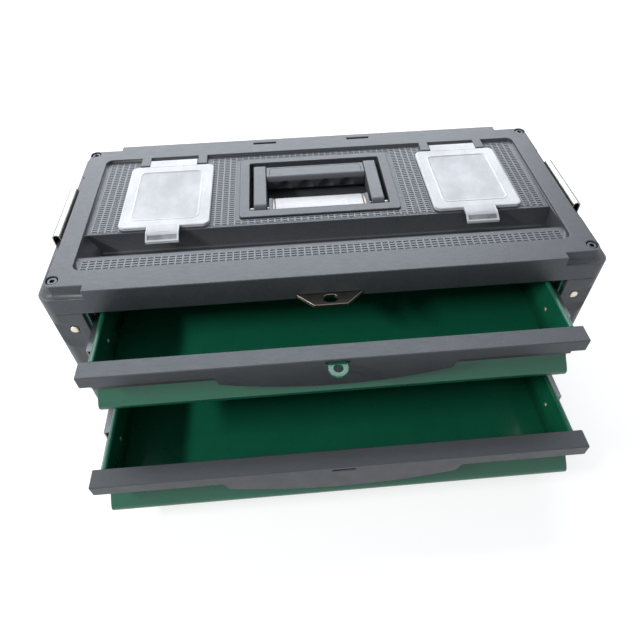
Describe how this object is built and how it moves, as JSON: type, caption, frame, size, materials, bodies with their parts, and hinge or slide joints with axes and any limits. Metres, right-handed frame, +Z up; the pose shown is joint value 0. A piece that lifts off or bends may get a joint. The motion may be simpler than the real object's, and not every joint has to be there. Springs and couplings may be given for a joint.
{
  "type": "portable tool box with drawers",
  "caption": "Low portable tool box: two full-width steel drawers on ball-bearing slides, a moulded cover with lidded wells, a pencil trough and a folding carry handle.",
  "frame": {"origin": "centre of the flat underside of the base", "axes": "+X to the right seen from the front, +Y to the back, +Z up; the drawers open towards -Y"},
  "size_m": [0.5132, 0.361, 0.1765],
  "materials": {
    "black_plastic": "fine leather-like grain",
    "green_steel": "smooth gloss paint",
    "zinc_steel": "zinc plated",
    "dark_steel": "dark plated",
    "lock_steel": "dark bronze plating",
    "plate_metal": "satin",
    "rivet_brass": "plain",
    "clear_plastic": "milky translucent"
  },
  "bodies": {
    "case": {"base_tray": "black_plastic", "cabinet_shell": "green_steel", "left_slide_wall": "green_steel", "right_slide_wall": "green_steel", "divider_rail": "green_steel", "front_left_post": "black_plastic", "front_right_post": "black_plastic", "rear_left_post": "black_plastic", "rear_right_post": "black_plastic", "post_rivets": "zinc_steel", "top_cover": "black_plastic", "cover_screws": "dark_steel", "handle_housing": "black_plastic", "nameplate": "plate_metal", "handle_pins": "zinc_steel", "lock_plate": "lock_steel", "left_latch_bracket": "dark_steel", "right_latch_bracket": "dark_steel", "left_latch_pin": "zinc_steel", "right_latch_pin": "zinc_steel", "upper_left_outer_rail": "zinc_steel", "upper_right_outer_rail": "zinc_steel", "lower_left_outer_rail": "zinc_steel", "lower_right_outer_rail": "zinc_steel"},
    "handle": {"handle_arms": "black_plastic", "handle_grip": "black_plastic"},
    "left_lid": {"left_lid": "clear_plastic"},
    "right_lid": {"right_lid": "clear_plastic"},
    "left_latch": {"left_latch": "zinc_steel"},
    "right_latch": {"right_latch": "zinc_steel"},
    "upper_drawer": {"upper_tray": "green_steel", "upper_front": "green_steel", "upper_pull_bar": "black_plastic", "padlock_tab": "green_steel", "upper_drawer_rivets": "rivet_brass", "upper_left_inner_rail": "zinc_steel", "upper_right_inner_rail": "zinc_steel"},
    "lower_drawer": {"lower_tray": "green_steel", "lower_front": "green_steel", "lower_pull_bar": "black_plastic", "lower_drawer_rivets": "rivet_brass", "lower_left_inner_rail": "zinc_steel", "lower_right_inner_rail": "zinc_steel"},
    "upper_middle_rails": {"upper_left_middle_rail": "zinc_steel", "upper_right_middle_rail": "zinc_steel"},
    "lower_middle_rails": {"lower_left_middle_rail": "zinc_steel", "lower_right_middle_rail": "zinc_steel"},
    "upper_outer_cages": {"upper_outer_cages": "zinc_steel"},
    "upper_inner_cages": {"upper_inner_cages": "zinc_steel"},
    "lower_outer_cages": {"lower_outer_cages": "zinc_steel"},
    "lower_inner_cages": {"lower_inner_cages": "zinc_steel"}
  },
  "joints": [
    {"name": "handle_fold", "type": "hinge", "parent": "case", "child": "handle", "pos_m": [0, -0.005, 0.1665], "axis": [1, 0, 0], "range_deg": [0, 95]},
    {"name": "left_lid_hinge", "type": "hinge", "parent": "case", "child": "left_lid", "pos_m": [-0.152, 0.081, 0.1746], "axis": [-1, 0, 0], "range_deg": [0, 110]},
    {"name": "right_lid_hinge", "type": "hinge", "parent": "case", "child": "right_lid", "pos_m": [0.155, 0.081, 0.1746], "axis": [-1, 0, 0], "range_deg": [0, 110]},
    {"name": "left_latch_hinge", "type": "hinge", "parent": "case", "child": "left_latch", "pos_m": [-0.2535, 0.002, 0.112], "axis": [0, -1, 0], "range_deg": [0, 120]},
    {"name": "right_latch_hinge", "type": "hinge", "parent": "case", "child": "right_latch", "pos_m": [0.2535, 0.002, 0.112], "axis": [0, 1, 0], "range_deg": [0, 120]},
    {"name": "upper_drawer_slide", "type": "slide", "parent": "case", "child": "upper_drawer", "axis": [0, -1, 0], "range_m": [-0.07, 0.12]},
    {"name": "lower_drawer_slide", "type": "slide", "parent": "case", "child": "lower_drawer", "axis": [0, -1, 0], "range_m": [-0.13, 0.06]},
    {"name": "upper_middle_rails_slide", "type": "slide", "parent": "case", "child": "upper_middle_rails", "axis": [0, -1, 0], "range_m": [-0.0455, 0.078]},
    {"name": "lower_middle_rails_slide", "type": "slide", "parent": "case", "child": "lower_middle_rails", "axis": [0, -1, 0], "range_m": [-0.0845, 0.039]},
    {"name": "upper_outer_cages_slide", "type": "slide", "parent": "case", "child": "upper_outer_cages", "axis": [0, -1, 0], "range_m": [-0.02275, 0.039]},
    {"name": "upper_inner_cages_slide", "type": "slide", "parent": "case", "child": "upper_inner_cages", "axis": [0, -1, 0], "range_m": [-0.05775, 0.099]},
    {"name": "lower_outer_cages_slide", "type": "slide", "parent": "case", "child": "lower_outer_cages", "axis": [0, -1, 0], "range_m": [-0.04225, 0.0195]},
    {"name": "lower_inner_cages_slide", "type": "slide", "parent": "case", "child": "lower_inner_cages", "axis": [0, -1, 0], "range_m": [-0.10725, 0.0495]}
  ],
  "couplings": [
    {"joint": "upper_middle_rails_slide", "follows": "upper_drawer_slide", "ratio": 0.65},
    {"joint": "upper_outer_cages_slide", "follows": "upper_drawer_slide", "ratio": 0.325},
    {"joint": "upper_inner_cages_slide", "follows": "upper_drawer_slide", "ratio": 0.825},
    {"joint": "lower_middle_rails_slide", "follows": "lower_drawer_slide", "ratio": 0.65},
    {"joint": "lower_outer_cages_slide", "follows": "lower_drawer_slide", "ratio": 0.325},
    {"joint": "lower_inner_cages_slide", "follows": "lower_drawer_slide", "ratio": 0.825}
  ]
}
